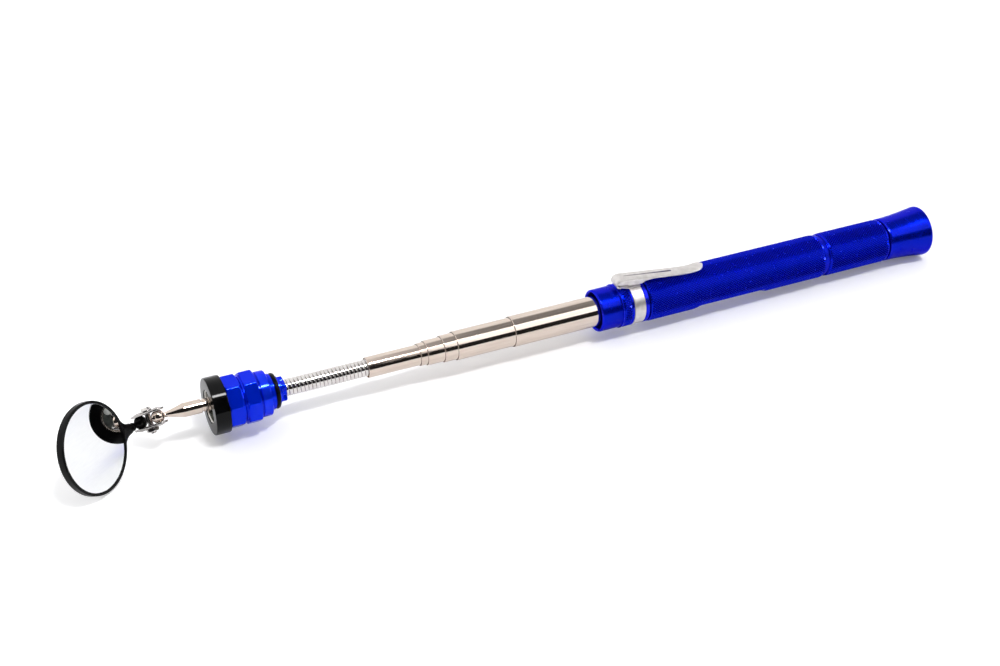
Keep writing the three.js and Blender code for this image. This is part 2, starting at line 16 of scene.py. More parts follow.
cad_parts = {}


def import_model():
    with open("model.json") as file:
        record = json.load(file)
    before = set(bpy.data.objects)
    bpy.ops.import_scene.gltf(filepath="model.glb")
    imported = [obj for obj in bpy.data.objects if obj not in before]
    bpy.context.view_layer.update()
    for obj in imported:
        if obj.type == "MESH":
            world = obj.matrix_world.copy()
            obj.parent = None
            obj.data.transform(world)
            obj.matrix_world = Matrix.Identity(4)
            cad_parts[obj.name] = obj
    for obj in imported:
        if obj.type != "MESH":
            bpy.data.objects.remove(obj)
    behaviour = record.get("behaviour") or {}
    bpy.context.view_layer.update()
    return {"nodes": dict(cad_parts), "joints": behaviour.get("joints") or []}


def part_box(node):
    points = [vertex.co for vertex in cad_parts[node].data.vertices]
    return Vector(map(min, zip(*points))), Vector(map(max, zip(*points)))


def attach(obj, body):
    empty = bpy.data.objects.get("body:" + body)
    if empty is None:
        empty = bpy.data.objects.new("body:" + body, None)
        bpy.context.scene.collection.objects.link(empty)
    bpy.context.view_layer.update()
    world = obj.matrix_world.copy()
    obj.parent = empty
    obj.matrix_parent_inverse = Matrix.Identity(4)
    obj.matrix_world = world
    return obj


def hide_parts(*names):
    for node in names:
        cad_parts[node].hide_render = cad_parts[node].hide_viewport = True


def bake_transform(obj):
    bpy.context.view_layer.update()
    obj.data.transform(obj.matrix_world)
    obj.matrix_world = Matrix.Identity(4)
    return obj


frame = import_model()

MM = 0.001
TOOL_AXIS = Matrix.Identity(4)
SMOOTH_ANGLE = 32
# Outline points nearer to the axis than this are on it.
ON_AXIS = 1e-6

# ---- Dimensions, in millimetres ----

COLUMNS = 128
KNURL = {"columns": 104, "step": 0.62, "depth": 0.32, "smooth": 18}

# Along the handle, counted from its mouth.
COLLAR = {"radius": 8.05, "ridge": 8.7, "bore": 6.9}
BAND = {"radius": 8.35, "start": 9.3, "end": 12.4}
CLIP_GROOVE = {"start": 13.3, "end": 18.1, "radius": 7.6}
GRIP = {"start": 20.4, "radius": 8.5, "groove": 97.4, "groove_end": 100.2, "end": 127.35}
CAP_START = 128.05
FLAT = {"start": 40.0, "end": 73.0, "depth": 1.0, "slope": 2.5, "turn": 240.0}
CLIP = {"turn": 6.0, "half_width": 2.6, "sheet": 0.7, "tip": 45.4, "top": 12.95, "sole": 5.0, "band": 0.6}
CURL = {"x": 9.35, "z": 11.35, "radius": 1.6}
CLIP_FOOT = {"z": 8.62, "end": 17.9, "start": 13.4}
CLIP_SLOT = {"start": 11.5, "end": 32.0, "wide": 0.42, "narrow": 0.14, "y": 0.35}

TUBE_WALL = 0.3
COIL = {"pitch": 1.41, "radius": 3.075, "depth": 0.5, "rows": 22, "hinges": 7, "spacing": 5.0}
OCTAGON = {"across_flats": 17.76, "turn": 26.7, "end_radius": 9.15, "chamfer": 0.5, "ease": 0.16}
NOTCH = {"half_angle": 36.0, "depth": 1.5, "start": 0.55, "run_out": 0.7}
BALL_RADIUS = 2.35
LINK = {"length": 8.9, "gap": 4.0, "sheet": 0.8, "half_width": 2.8}
SCREW = {"radius": 2.05, "height": 1.5, "shank": 1.0, "length": 2.2, "recess": 1.25, "slot": 0.27}
NUT = {"height": 1.6, "end_radius": 1.75, "half_flats": 2.0, "chamfer": 0.45, "bore": 1.05}
STEM_RADIUS = 2.5
MIRROR = {"radius": 15.85, "opening": 14.75, "thickness": 3.0, "reach": 25.4, "rise": 0.8}
WEB = {"start": 5.0, "half": 1.5, "round_in": 0.3, "overlap": 1.55, "flare": 5.5}

# Angles are in degrees above the horizon on the camera's side, and the rest are brightnesses.
LIGHT = {"head_edge": 65.0, "tail_edge": 32.0, "top": 73.0, "strip": 52.0, "panel": 1.6, "room": 1.1}
# How far along X, in a reflected direction, one look gives way to the next.
GIVES_WAY = {"wall": (0.25, 0.32), "edge": (0.272, 0.32), "strip": (0.25, 0.28), "dark": (0.04, 0.1)}
FLOOR_LIFT = {"tool": 0.14, "mirror": 0.42, "start": 25.0, "end": 60.0}

# The camera's place is in metres, counted from the handle's mouth.
CAMERA = {"lens": 60.84, "sensor": 36.0, "place": (-0.25177, -0.47071, 0.33972)}
CAMERA_FORWARD = (0.3453, 0.7615, -0.5486)
CAMERA_RIGHT = (0.9107, -0.4130, 0.0)


# ---- Measuring the frame ----

def span(node):
    """A CAD node's first and last x and its largest distance from the tool's axis along y or z."""
    low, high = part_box(node)
    reach = max(abs(low.y), abs(high.y), abs(low.z), abs(high.z))
    return low.x / MM, high.x / MM, reach / MM


def joint(name):
    """A joint's place in millimetres and its direction."""
    found = next(j for j in frame["joints"] if j["name"] == name)
    return Vector(found["pos_m"]) / MM, Vector(found["axis"])


def frame_at(origin, x_axis, z_hint):
    """A frame whose x axis is given and whose z axis leans towards z_hint."""
    x = Vector(x_axis).normalized()
    y = Vector(z_hint).cross(x).normalized()
    z = x.cross(y)
    return Matrix.Translation(origin) @ Matrix((x, y, z)).transposed().to_4x4()


def face_normal(node):
    """The direction square to a flat disc node, on the side that looks along +X."""
    points = np.array([v.co for v in frame["nodes"][node].data.vertices])
    normal = Vector(np.linalg.eigh(np.cov((points - points.mean(0)).T))[1][:, 0])
    return normal if normal.x > 0 else -normal


MOUTH = span("barrel")[0]
HANDLE_PLACE = Matrix.Translation((MOUTH, 0.0, 0.0))
CLIP_PLACE = HANDLE_PLACE @ Matrix.Rotation(math.radians(CLIP["turn"]), 4, "X")


# ---- Mesh helpers ----

def weigh_normals(piece):
    """Lets the large faces set the shading, so that a softened edge doesn't tint the face beside it."""
    shading = piece.modifiers.new("shading", "WEIGHTED_NORMAL")
    shading.keep_sharp = True
    shading.weight = 100


def solid_mesh(name, corners, faces):
    """A mesh from corners in metres, with its faces turned outwards."""
    mesh = bpy.data.meshes.new(name)
    mesh.from_pydata(corners, [], faces)
    mesh.validate()
    editable = bmesh.new()
    editable.from_mesh(mesh)
    bmesh.ops.recalc_face_normals(editable, faces=editable.faces)
    editable.to_mesh(mesh)
    editable.free()
    return mesh


def shade_smooth(mesh, limit=SMOOTH_ANGLE):
    """Shades the mesh smooth, apart from edges sharper than the limit, in degrees."""
    mesh.polygons.foreach_set("use_smooth", [True] * len(mesh.polygons))
    mesh.set_sharp_from_angle(angle=math.radians(limit))


def new_piece(name, points, faces, material, body, node=None, smooth=SMOOTH_ANGLE):
    """Makes the object of one piece from points in the row frame, in millimetres."""
    mesh = solid_mesh(name, (np.asarray(points, float) * MM).tolist(), faces)
    shade_smooth(mesh, smooth)
    mesh.materials.append(material)
    piece = bpy.data.objects.new(name, mesh)
    bpy.context.scene.collection.objects.link(piece)
    if body:
        weigh_normals(piece)
        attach(piece, body)
    if node:
        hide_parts(node)
    return piece


def placed(points, place):
    """The points, moved from the frame of place to the row frame."""
    return np.array(points) @ np.array(place.to_3x3()).T + np.array(place.translation)


def prism_faces(count):
    """Faces between two copies of an outline of count points, with both ends closed."""
    ends = [tuple(range(count)), tuple(range(count, 2 * count))]
    return ends + [(i, (i + 1) % count, count + (i + 1) % count, count + i) for i in range(count)]


def band_faces(first, rings, size):
    """Faces between neighbouring rings of size points each, which start at point number first."""
    faces = []
    for a in range(first, first + (rings - 1) * size, size):
        for j in range(size):
            k = (j + 1) % size
            faces.append((a + j, a + k, a + size + k, a + size + j))
    return faces


def skin_faces(rings, size):
    """Faces over a row of rings of size points each, with both ends closed."""
    last = (rings - 1) * size
    return [tuple(range(size)), tuple(range(last, last + size))] + band_faces(0, rings, size)


def softened(path, radius, closed=False):
    """Replaces each corner of an outline with a short curve that starts and ends radius away from it."""
    steps = 4
    points = [Vector(p) for p in path]
    result = []
    count = len(points)
    for i, corner in enumerate(points):
        if not closed and i in (0, count - 1):
            result.append(corner)
            continue
        before = points[i - 1] - corner
        after = points[(i + 1) % count] - corner
        reach_before = min(radius, 0.45 * before.length)
        reach_after = min(radius, 0.45 * after.length)
        start = corner + before.normalized() * reach_before
        end = corner + after.normalized() * reach_after
        for k in range(steps + 1):
            t = k / steps
            result.append(start * (1 - t) ** 2 + corner * 2 * t * (1 - t) + end * t ** 2)
    return [(p.x, p.y) for p in result]


def turned_mesh(rows, place, columns, closed, shape=None, faceted=None):
    """Points and faces of a turned piece. shape(row, column, x, radius, angle) gives the final radius.
    Rows for which faceted(row) is true are split into triangles along the knurl's grooves."""
    points = []
    rings = []
    for i, (x, radius) in enumerate(rows):
        if radius < ON_AXIS:
            rings.append([len(points)])
            points.append((x, 0.0, 0.0))
            continue
        rings.append(list(range(len(points), len(points) + columns)))
        for j in range(columns):
            angle = 2 * math.pi * j / columns
            r = shape(i, j, x, radius, angle) if shape else radius
            points.append((x, r * math.cos(angle), r * math.sin(angle)))
    faces = []
    last = len(rows) if closed else len(rows) - 1
    for i in range(last):
        one, two = rings[i], rings[(i + 1) % len(rows)]
        for j in range(columns):
            k = (j + 1) % columns
            if len(one) == 1 and len(two) == 1:
                continue
            if len(one) == 1:
                faces.append((one[0], two[j], two[k]))
            elif len(two) == 1:
                faces.append((one[k], one[j], two[0]))
            elif faceted and faceted(i):
                if (i + j) % 2:
                    faces += [(one[j], one[k], two[j]), (one[k], two[k], two[j])]
                else:
                    faces += [(one[j], two[k], two[j]), (one[j], one[k], two[k])]
            else:
                faces.append((one[j], one[k], two[k], two[j]))
    return placed(points, place), faces


def turned(name, path, material, body, node=None, place=TOOL_AXIS, columns=COLUMNS, soft=0.0, **options):
    """A turned piece. An outline that doesn't start on the axis closes on itself."""
    closed = path[0][1] > ON_AXIS
    rows = softened(path, soft, closed) if soft else path
    points, faces = turned_mesh(rows, place, columns, closed, **options)
    return new_piece(name, points, faces, material, body, node)


def ribbon(name, path, widths, thickness, crown, material, place):
    """A bent strip of sheet. The path holds (x, z) points of its middle, and widths its half widths along y.
    The strip's middle stands crown higher than its edges."""
    middle = [Vector(p) for p in path]
    half = thickness / 2
    edge = 0.16
    points = []
    for i, point in enumerate(middle):
        ahead = middle[min(i + 1, len(middle) - 1)] - middle[max(i - 1, 0)]
        along = ahead.normalized()
        up = Vector((-along.y, along.x))
        w = widths[i]
        e = min(edge, 0.45 * w)
        upper = [(w * k / 4, half) for k in range(4)] + [(w - e, half), (w - 0.3 * e, half - 0.3 * e)]
        upper.append((w, half - e))
        section = upper + [(y, -z) for y, z in reversed(upper)]
        section += [(-y, z) for y, z in reversed(section) if y > 0]
        for y, z in section:
            spot = point + up * (z + crown * (1 - (y / w) ** 2))
            points.append((spot.x, y, spot.y))
    faces = skin_faces(len(middle), len(section))
    return new_piece(name, placed(points, place), faces, material, None)


def arc(centre, radius, start, end, steps):
    """Points on an arc in a plane, with its angles in degrees."""
    angles = [math.radians(start + (end - start) * i / steps) for i in range(steps + 1)]
    return [(centre[0] + radius * math.cos(a), centre[1] + radius * math.sin(a)) for a in angles]


def cut(piece, cutter):
    """Takes the cutter's shape out of the piece, and removes the cutter."""
    tool = piece.modifiers.new("cut", "BOOLEAN")
    tool.operation = "DIFFERENCE"
    tool.solver = "EXACT"
    tool.object = cutter
    ready = piece.evaluated_get(bpy.context.evaluated_depsgraph_get())
    mesh = bpy.data.meshes.new_from_object(ready)
    piece.modifiers.remove(tool)
    piece.data = mesh
    shade_smooth(mesh)
    bpy.data.objects.remove(cutter)


def cutter(outline, low, high, place):
    """A prism used as a cutter: an outline of (x, y) points between two heights, in the frame of place."""
    corners = [tuple((place @ Vector((x, y, z))) * MM) for z in (low, high) for x, y in outline]
    tool = bpy.data.objects.new("cutter", solid_mesh("cutter", corners, prism_faces(len(outline))))
    bpy.context.scene.collection.objects.link(tool)
    return tool


# ---- Materials ----

class Graph:
    """A node tree under construction. A value is a number or another node's output."""

    def __init__(self, tree):
        self.nodes = tree.nodes
        self.links = tree.links

    def connect(self, value, socket):
        if isinstance(value, (int, float)):
            socket.default_value = value
        else:
            self.links.new(value, socket)

    def calculate(self, operation, *values):
        node = self.nodes.new("ShaderNodeMath")
        node.operation = operation
        for value, socket in zip(values, node.inputs):
            self.connect(value, socket)
        return node.outputs[0]

    def ranged(self, value, from_min, from_max, to_min=0.0, to_max=1.0):
        node = self.nodes.new("ShaderNodeMapRange")
        for number, socket in zip((value, from_min, from_max, to_min, to_max), node.inputs):
            self.connect(number, socket)
        return node.outputs["Result"]

    def mixed(self, factor, first, second):
        node = self.nodes.new("ShaderNodeMix")
        node.data_type = "FLOAT"
        for value, number in ((factor, 0), (first, 2), (second, 3)):
            self.connect(value, node.inputs[number])
        return node.outputs[0]

    def ramp(self, source, stops):
        """Maps a value to colours or greys at the given stops."""
        ramp = self.nodes.new("ShaderNodeValToRGB")
        elements = ramp.color_ramp.elements
        while len(elements) < len(stops):
            elements.new(0.5)
        for element, (position, colour) in zip(elements, stops):
            element.position = position
            element.color = (*colour, 1.0) if isinstance(colour, tuple) else (colour, colour, colour, 1.0)
        self.links.new(source, ramp.inputs["Fac"])
        return ramp.outputs["Color"]

    def axes(self, source):
        """The x, y and z parts of a vector."""
        split = self.nodes.new("ShaderNodeSeparateXYZ")
        self.links.new(source, split.inputs[0])
        return split.outputs


class Finish(Graph):
    """A Principled material under construction, with its textures in the object's own coordinates."""

    def __init__(self, name, **inputs):
        self.material = bpy.data.materials.new(name)
        self.material.use_nodes = True
        super().__init__(self.material.node_tree)
        self.shader = self.nodes["Principled BSDF"]
        self.place = self.nodes.new("ShaderNodeTexCoord").outputs["Object"]
        for label, value in inputs.items():
            self.shader.inputs[label.replace("_", " ")].default_value = value

    def noise(self, scale):
        """Noise whose scale, alike in all directions or along x, y and z, is in features per millimetre."""
        scales = scale if isinstance(scale, tuple) else (scale, scale, scale)
        mapping = self.nodes.new("ShaderNodeMapping")
        mapping.inputs["Scale"].default_value = [s / MM for s in scales]
        texture = self.nodes.new("ShaderNodeTexNoise")
        texture.inputs["Scale"].default_value = 1.0
        texture.inputs["Detail"].default_value = 3.0
        self.links.new(self.place, mapping.inputs["Vector"])
        self.links.new(mapping.outputs["Vector"], texture.inputs["Vector"])
        return texture.outputs["Fac"]

    def colour(self, source, dark, light):
        self.links.new(self.ramp(source, [(0.35, dark), (0.65, light)]), self.shader.inputs["Base Color"])

    def roughness(self, source, low, high):
        self.links.new(self.ramp(source, [(0.3, low), (0.7, high)]), self.shader.inputs["Roughness"])

    def bump(self, source, height):
        """Raises the surface by up to height, in millimetres."""
        bump = self.nodes.new("ShaderNodeBump")
        bump.inputs["Distance"].default_value = height * MM
        self.links.new(source, bump.inputs["Height"])
        self.links.new(bump.outputs["Normal"], self.shader.inputs["Normal"])


def blue_anodised(name, metal, dark, light, low, high, gloss):
    """Dyed, anodised aluminium under its clear oxide, with painted shade darkening its grooves and a painted
    highlight paling its proud edges.
    """
    tint = (0.05, 0.12, 1.0, 1.0)
    coat = {"Coat_Weight": gloss, "Coat_Roughness": 0.05}
    finish = Finish(name, Metallic=metal, Specular_IOR_Level=0.1, Specular_Tint=tint, **coat)
    proud = finish.nodes.new("ShaderNodeNewGeometry").outputs["Pointiness"]
    # The groove colour is painted shade in hollows, and the ridge colour a painted highlight on proud edges.
    groove = tuple(0.35 * c for c in dark)
    ridge = (0.02, 2.2 * light[1], min(1.7 * light[2], 1.0))
    # Pointiness is 0.5 where the surface is flat, and up to 0.06 of clouding is added.
    stops = [(0.44, groove), (0.51, dark), (0.55, light), (0.62, ridge)]
    shade = finish.ramp(finish.calculate("MULTIPLY_ADD", finish.noise(0.12), 0.06, proud), stops)
    finish.links.new(shade, finish.shader.inputs["Base Color"])
    finish.roughness(finish.noise((0.5, 0.4, 0.4)), low, high)
    finish.bump(finish.noise((2.0, 0.05, 0.05)), 0.0003)
    return finish.material


def textured(name, colour, roughness, bump=None, **inputs):
    """A finish with noise in its colour, roughness and height. Each is a scale and its limits."""
    finish = Finish(name, **inputs)
    scale, dark, light = colour
    finish.colour(finish.noise(scale), dark, light)
    scale, low, high = roughness
    finish.roughness(finish.noise(scale), low, high)
    if bump:
        scale, height = bump
        finish.bump(finish.noise(scale), height)
    return finish


def chrome(name, low, high, shade=1.0):
    """Bright plating over a lightly polished surface."""
    dark = tuple(shade * c for c in (0.66, 0.625, 0.61))
    light = tuple(shade * c for c in (0.76, 0.73, 0.715))
    return textured(name, (0.5, dark, light), (1.5, low, high), (2.5, 0.0015), Metallic=1.0).material


def brass(name, dark, light):
    """Turned brass, bare or plated."""
    bump = ((8.0, 0.1, 0.1), 0.003)
    return textured(name, (0.4, dark, light), (2.0, 0.14, 0.26), bump, Metallic=1.0).material


BLUE = blue_anodised("blue_anodised", 0.55, (0.0, 0.02, 0.72), (0.0, 0.026, 0.82), 0.12, 0.18, 0.2)
SATIN_BLUE = blue_anodised("blue_anodised.satin", 0.8, (0.0, 0.008, 0.45), (0.0, 0.011, 0.55), 0.2, 0.28, 0.1)
CHROME = chrome("chrome", 0.05, 0.12)
SATIN_CHROME = chrome("chrome.satin", 0.36, 0.44)
DULL_CHROME = chrome("chrome.dull", 0.14, 0.22, 0.72)
BRASS = brass("brass", (0.42, 0.34, 0.22), (0.56, 0.46, 0.31))
PLATED_BRASS = brass("brass.plated", (0.4, 0.385, 0.36), (0.62, 0.6, 0.56))

# Nickel plate on drawn tube: warm, bright, with faint lines along its length.
STEEL = textured(
    "nickel_steel", ((0.08, 1.2, 1.2), (0.66, 0.56, 0.49), (0.74, 0.635, 0.56)),
    ((0.15, 3.0, 3.0), 0.06, 0.14), ((0.06, 9.0, 9.0), 0.0012), Metallic=1.0).material
# Gloss black, with the slight waviness of a painted or plated surface.
BLACK = textured(
    "black_plate", (0.3, (0.0012, 0.0012, 0.0014), (0.003, 0.003, 0.0032)),
    (1.0, 0.06, 0.12), (1.2, 0.0015), IOR=1.4, Specular_IOR_Level=0.2).material
RUBBER = textured(
    "black_rubber", (1.0, (0.001, 0.001, 0.001), (0.003, 0.003, 0.0035)),
    (3.0, 0.3, 0.42), (6.0, 0.01), IOR=1.4, Specular_IOR_Level=0.12).material
# A milky moulded lamp lens.
LENS = textured(
    "lens_plastic", (0.8, (0.8, 0.82, 0.78), (0.92, 0.93, 0.9)),
    (2.0, 0.06, 0.14), Transmission_Weight=0.35, IOR=1.5, Coat_Weight=0.6).material
# Dark solder mask over faint tracks.
BOARD = textured(
    "board", (0.6, (0.012, 0.016, 0.013), (0.05, 0.056, 0.05)),
    (2.0, 0.35, 0.5), (1.5, 0.02), Specular_IOR_Level=0.5).material
# Polished silver under glass, with a breath of haze.
SILVERED = textured(
    "silvered_glass", (0.05, (0.9, 0.915, 0.92), (0.94, 0.95, 0.955)),
    (0.1, 0.004, 0.012), Metallic=1.0).material
MAGNET = textured(
    "magnet_nickel", (0.5, (0.56, 0.54, 0.5), (0.7, 0.68, 0.64)),
    (1.5, 0.12, 0.26), (1.2, 0.006), Metallic=1.0).material


# ---- Handle ----

def flat_limit(x):
    """How far from the axis the milled flat lets the grip reach at x, in the flat's own direction."""
    inside = min(x - FLAT["start"], FLAT["end"] - x) / FLAT["slope"]
    ease = min(max(inside, 0.0), 1.0)
    return GRIP["radius"] + 0.05 - (FLAT["depth"] + 0.05) * ease * ease * (3 - 2 * ease)


def barrel():
    """The pocket handle: collar, knurled band, clip groove and a long knurled grip with a milled flat."""
    bore, collar, ridge = COLLAR["bore"], COLLAR["radius"], COLLAR["ridge"]
    band = BAND["radius"]
    grip = GRIP["radius"]
    groove = CLIP_GROOVE
    rows = []
    knurled = set()

    def smooth(*points):
        rows.extend(points)

    def knurl(x0, x1, radius):
        count = 2 * round((x1 - x0) / KNURL["step"] / 2)
        for k in range(count + 1):
            if k < count:
                knurled.add(len(rows))
            rows.append((x0 + (x1 - x0) * k / count, radius))

    smooth((0.6, bore), (0.12, bore + 0.35), (0.0, bore + 0.5), (0.0, collar - 0.5), (0.1, collar - 0.3))
    smooth((0.5, collar - 0.03), (0.7, collar), (ridge - 0.45, collar), (ridge - 0.3, collar + 0.05))
    smooth((ridge - 0.2, band), (ridge, band + 0.08), (ridge + 0.25, band), (ridge + 0.4, band - 0.2))
    knurl(BAND["start"], BAND["end"], band)
    smooth((BAND["end"] + 0.15, band - 0.05), (BAND["end"] + 0.25, band), (groove["start"] - 0.15, band))
    smooth((groove["start"] - 0.03, band - 0.12), (groove["start"], groove["radius"]))
    smooth((groove["end"], groove["radius"]), (groove["end"] + 0.03, band - 0.15))
    smooth((groove["end"] + 0.15, band), (GRIP["start"] - 0.95, band))
    smooth((GRIP["start"] - 0.78, band - 0.12), (GRIP["start"] - 0.7, band - 0.6))
    smooth((GRIP["start"] - 0.18, band - 0.6), (GRIP["start"] - 0.12, grip - 0.2))
    knurl(GRIP["start"], GRIP["groove"], grip)
    smooth((GRIP["groove"] + 0.2, grip - 0.12), (GRIP["groove_end"] - 0.5, grip - 0.62))
    smooth((GRIP["groove_end"] - 0.38, grip - 0.6), (GRIP["groove_end"] - 0.1, grip - 0.1))
    knurl(GRIP["groove_end"], GRIP["end"] - 0.4, grip)
    smooth((GRIP["end"] - 0.1, grip - 0.18), (GRIP["end"], grip - 0.4), (GRIP["end"], bore))
    ends = {i for i in knurled if i - 1 not in knurled} | {i + 1 for i in knurled if i + 1 not in knurled}
    turn = math.radians(FLAT["turn"])

    def shape(i, j, x, radius, angle):
        if (i in knurled or i - 1 in knurled) and (i + j) % 2 and i not in ends:
            radius -= KNURL["depth"]
        elif i in ends:
            radius -= KNURL["depth"] / 2
        if FLAT["start"] < x < FLAT["end"]:
            lean = math.cos(angle - turn)
            limit = flat_limit(x)
            if radius * lean > limit:
                radius = limit / lean
        return radius

    points, faces = turned_mesh(rows, HANDLE_PLACE, KNURL["columns"], True, shape, lambda i: i in knurled)
    new_piece("barrel_shell", points, faces, SATIN_BLUE, "handle", "barrel", smooth=KNURL["smooth"])


def tail_cap():
    """The flared cap on the tail, with a rounded rim and a seat for its magnet."""
    x0, x1, flare = span("tail_cap")
    magnet_x0, magnet_x1, magnet_radius = span("tail_magnet")
    start = MOUTH + CAP_START
    grip = GRIP["radius"]
    inner = COLLAR["bore"] - 0.05
    path = [(x0, 0.0), (x0, inner - 0.4), (x0 + 0.4, inner), (start, inner), (start, grip - 0.35)]
    path += [(start + 0.06, grip - 0.12), (start + 0.22, grip - 0.02)]
    flare_end = x1 - 1.1
    steps = 24
    for k in range(1, steps + 1):
        t = k / steps
        x = start + 0.6 + t * (flare_end - start - 0.6)
        path.append((x, grip + (flare - grip) * (1 - math.cos(t * math.pi / 2))))
    rim = 0.75
    path += arc((x1 - rim, flare - rim), rim, 78, 4, 8)
    path += [(x1, flare - 1.0), (x1, magnet_radius + 0.35), (x1 - 0.2, magnet_radius + 0.12)]
    path += [(magnet_x0 - 0.2, magnet_radius + 0.12), (magnet_x0 - 0.2, 0.0)]
    turned("tail_cap_shell", path, SATIN_BLUE, "handle", "tail_cap", columns=160)
    magnet = [(magnet_x0, 0.0), (magnet_x0, magnet_radius), (magnet_x1, magnet_radius), (magnet_x1, 0.0)]
    turned("tail_magnet_disc", magnet, MAGNET, "handle", "tail_magnet", soft=0.3)


def sleeve(name, node, bore, material, body):
    """A plain bush or ring, sized by its CAD node."""
    x0, x1, radius = span(node)
    turned(name, [(x0, bore), (x0, radius), (x1, radius), (x1, bore)], material, body, node, soft=0.12)


# ---- Clip ----

def arm_height(x):
    """The height of the arm's middle at x: a straight run down to the grip, then a short sole."""
    contact = GRIP["radius"] + 0.15 + CLIP["sheet"] / 2
    sole = CLIP["tip"] - CLIP["sole"]
    slope = (CLIP["top"] - contact - 0.15) / (sole - 4.0 - CURL["x"])
    fall = CLIP["top"] - slope * (x - CURL["x"])
    rise = 0.07 * max(x - sole, 0.0) ** 1.6
    soft = 0.18
    return contact + soft * math.log1p(math.exp((fall - contact) / soft)) + rise


def clip_ring():
    """The band that turns in the barrel's groove."""
    x0, x1 = CLIP_GROOVE["start"] + 0.15, CLIP_GROOVE["end"] - 0.1
    inner = CLIP_GROOVE["radius"] + 0.12
    outer = inner + CLIP["band"]
    path = [(x0, inner), (x0, outer), (x1, outer), (x1, inner)]
    turned("clip_strip", path, SATIN_CHROME, "clip_ring", "clip_band", HANDLE_PLACE, columns=144, soft=0.14)


def clip_arm():
    """The spring: a foot on the band, a curl at the nose, and a long slotted arm that presses on the grip."""
    foot = CLIP_FOOT
    path = [(foot["end"] - k * (foot["end"] - foot["start"]) / 6, foot["z"]) for k in range(7)]
    low = CURL["z"] - CURL["radius"]
    for k in range(1, 6):
        t = k / 6
        ease = t * t * (3 - 2 * t)
        path.append((foot["start"] + t * (CURL["x"] - foot["start"]), foot["z"] + (low - foot["z"]) * ease))
    folded_under = len(path)
    path += arc((CURL["x"], CURL["z"]), CURL["radius"], 270, 90, 24)
    tip = CLIP["tip"]
    path += [(x, arm_height(x)) for x in np.linspace(CURL["x"] + 0.7, tip, 60)]
    half = CLIP["half_width"]
    widths = []
    for i, (x, _) in enumerate(path):
        if i < folded_under:
            widths.append(half - 0.45)
        elif x < CURL["x"] + 0.6:
            widths.append(half - 0.3)
        else:
            taper = half - 0.3 * (x - CURL["x"]) / (tip - CURL["x"])
            left = min((tip - x) / half, 1.0)
            widths.append(taper * math.sqrt(max(1 - (1 - left) ** 2, 0.02)))
    sheet = CLIP["sheet"] - 0.05
    spring = ribbon("clip_spring", path, widths, sheet, 0.1, SATIN_CHROME, CLIP_PLACE)
    slot = CLIP_SLOT
    outline = [(slot["start"], slot["y"] - slot["narrow"]), (slot["end"], slot["y"] - slot["wide"])]
    outline += [(slot["end"], slot["y"] + slot["wide"]), (slot["start"], slot["y"] + slot["narrow"])]
    cut(spring, cutter(outline, GRIP["radius"] + 0.6, CLIP["top"] + 2, CLIP_PLACE))
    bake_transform(spring)
    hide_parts("clip_arm")


def clip_cheeks():
    """The two sides of the arm, folded down beside the nose and over the band."""
    nose = CURL["x"]
    arm = CLIP["top"] + 0.15
    half = 0.25
    back = [(nose + 8.9, arm - 3.2), (nose + 10.2, arm - 2.4)]
    back += [(nose + 13.5, arm - 2.25), (nose + 13.5, arm - 1.95)]
    for side, word, low in ((-1, "left", 2.0), (1, "right", 3.0)):
        outline = [(nose - 0.2, arm), (nose - 1.5, arm - 0.9), (nose - 1.4, arm - 1.5)]
        outline += [(nose - 0.2, arm - low + 0.1), (nose + 2.4, arm - low), (nose + 3.6, arm - 2.9)]
        soft = softened(outline + back, 0.45, closed=True)
        middle = side * (CLIP["half_width"] - half)
        points = placed([(x, y, z) for y in (middle - half, middle + half) for x, z in soft], CLIP_PLACE)
        faces = prism_faces(len(soft))
        cheek = new_piece(f"clip_cheek_{word}", points, faces, SATIN_CHROME, "clip_lever")
        bevel = cheek.modifiers.new("edge", "BEVEL")
        bevel.width = 0.12 * MM
        bevel.segments = 3


# ---- Tubes and neck ----

def tube(index):
    """One drawn tube with a rolled-in front lip, and the guide ring on its rear end."""
    node = f"tube_{index}"
    x0, x1, radius = span(node)
    bore = radius - TUBE_WALL
    lip = bore + 0.06
    path = [(x0 + 0.5, lip), (x0 + 0.06, lip + 0.01), (x0, lip + 0.06), (x0 + 0.02, radius - 0.13)]
    path += [(x0 + 0.08, radius - 0.05), (x0 + 0.2, radius), (x1 - 0.15, radius), (x1, radius - 0.15)]
    path += [(x1, bore), (x0 + 1.3, bore), (x0 + 0.8, lip - 0.02)]
    body = f"tube_{index}_body"
    turned(f"tube_{index}_drawn", path, STEEL, body, node)
    sleeve(f"guide_ring_{index}_sleeve", f"guide_ring_{index}", radius - 0.1, BRASS, body)


def coil_radius(x, angle):
    """The neck's outline: a flattened wire wound as a helix, with narrow grooves between its turns."""
    phase = (x / COIL["pitch"] - angle / (2 * math.pi)) % 1.0
    return COIL["radius"] - COIL["depth"] * abs(2 * phase - 1) ** 8


